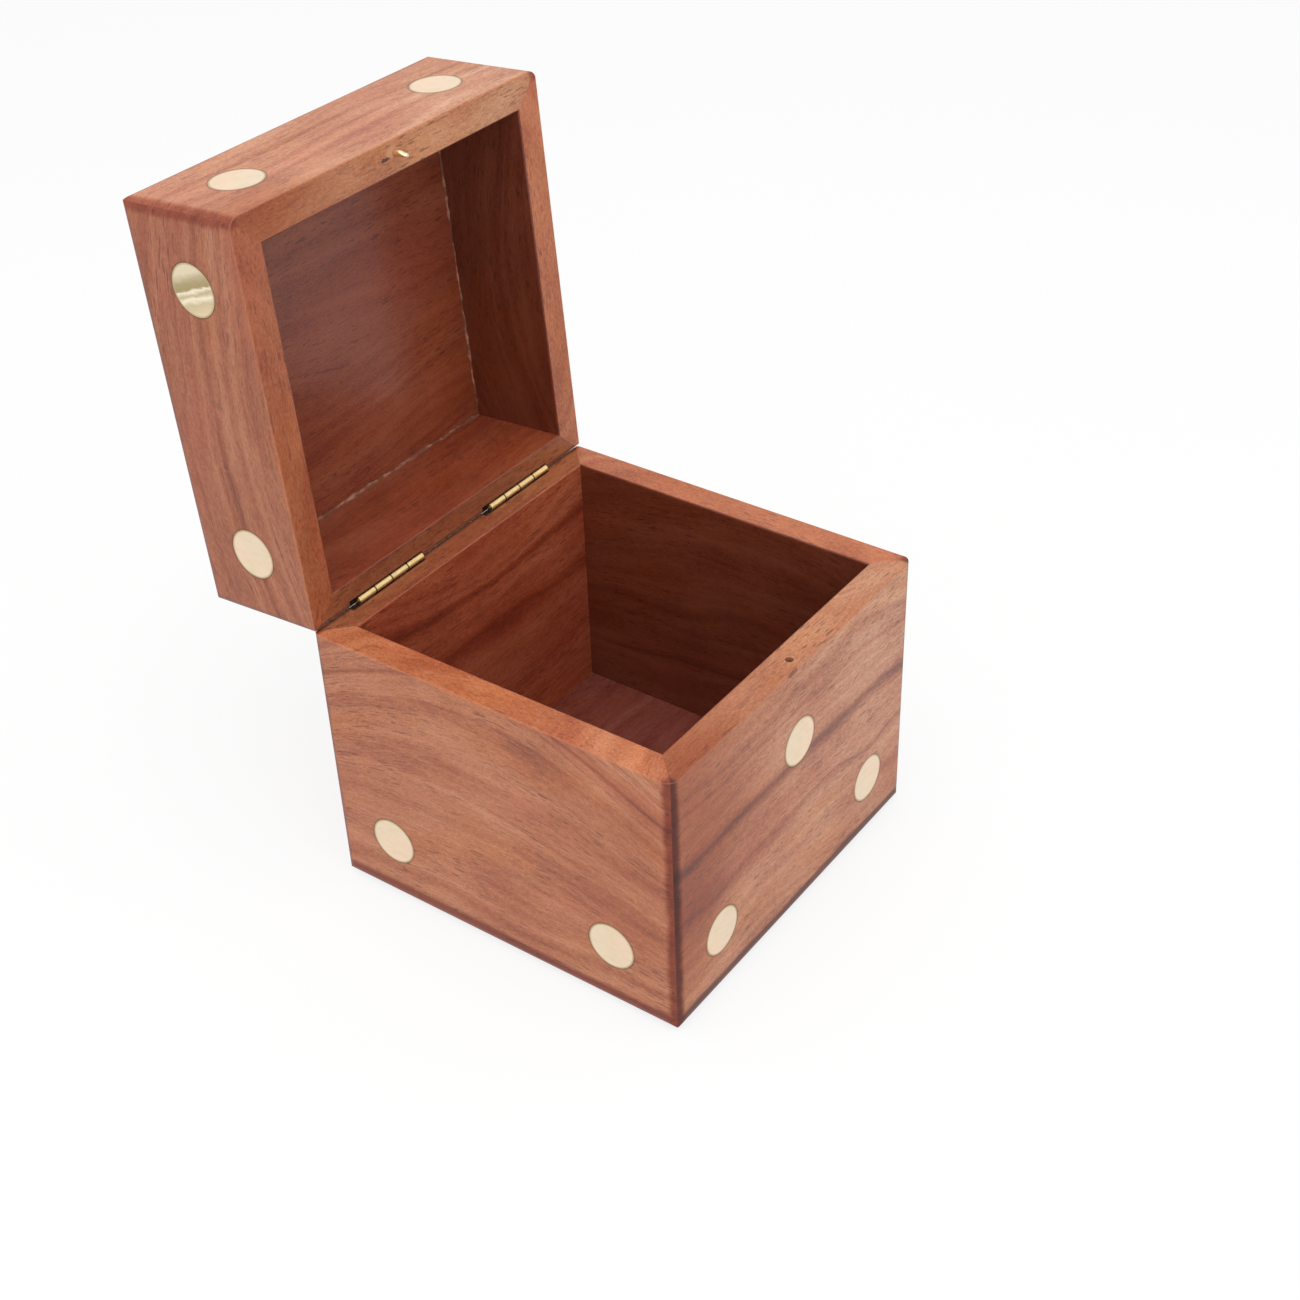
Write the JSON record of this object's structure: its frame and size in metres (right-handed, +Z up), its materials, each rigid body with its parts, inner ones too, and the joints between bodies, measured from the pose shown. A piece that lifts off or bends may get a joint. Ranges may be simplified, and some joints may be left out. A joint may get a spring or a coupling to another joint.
{
  "type": "dice box",
  "caption": "Small wooden box shaped like a die, with flush brass pips, a cavity for dice, and a lid that swings on inset brass hinges onto a locating pin.",
  "frame": {"origin": "centre of the underside of the base", "axes": "+Z up, -Y towards the front, +Y towards the hinges, +X to the right seen from the front; the lid is open at rest"},
  "size_m": [0.065, 0.0897, 0.1112],
  "materials": {
    "base_wood": "satin lacquered sheesham, grain level round the walls",
    "lid_wood": "satin lacquered sheesham, grain level round the walls",
    "panel_wood": "satin lacquered sheesham",
    "pip_brass": "pale brass rod sanded flush, fine swirls",
    "hinge_brass": "bright rolled brass",
    "nail_brass": "brass",
    "catch_brass": "brass wire"
  },
  "bodies": {
    "base": {"base_front_wall": "base_wood", "base_right_wall": "base_wood", "base_back_wall": "base_wood", "base_left_wall": "base_wood", "base_bottom_panel": "panel_wood", "left_hinge_base_leaf": "hinge_brass", "left_hinge_pin": "hinge_brass", "right_hinge_base_leaf": "hinge_brass", "right_hinge_pin": "hinge_brass", "base_hinge_nails": "nail_brass", "base_front_pips": "pip_brass", "base_right_pips": "pip_brass", "base_back_pip": "pip_brass", "base_left_pips": "pip_brass", "bottom_pip": "pip_brass"},
    "lid": {"lid_front_wall": "lid_wood", "lid_right_wall": "lid_wood", "lid_back_wall": "lid_wood", "lid_left_wall": "lid_wood", "lid_top_panel": "panel_wood", "left_hinge_lid_leaf": "hinge_brass", "right_hinge_lid_leaf": "hinge_brass", "lid_hinge_nails": "nail_brass", "catch_pin": "catch_brass", "lid_front_pips": "pip_brass", "lid_right_pip": "pip_brass", "lid_back_pip": "pip_brass", "lid_left_pips": "pip_brass", "top_pips": "pip_brass"}
  },
  "joints": [
    {"name": "lid_hinge", "type": "hinge", "parent": "base", "child": "lid", "pos_m": [0, 0.03145, 0.0474], "axis": [1, 0, 0], "range_deg": [0, 94]}
  ]
}
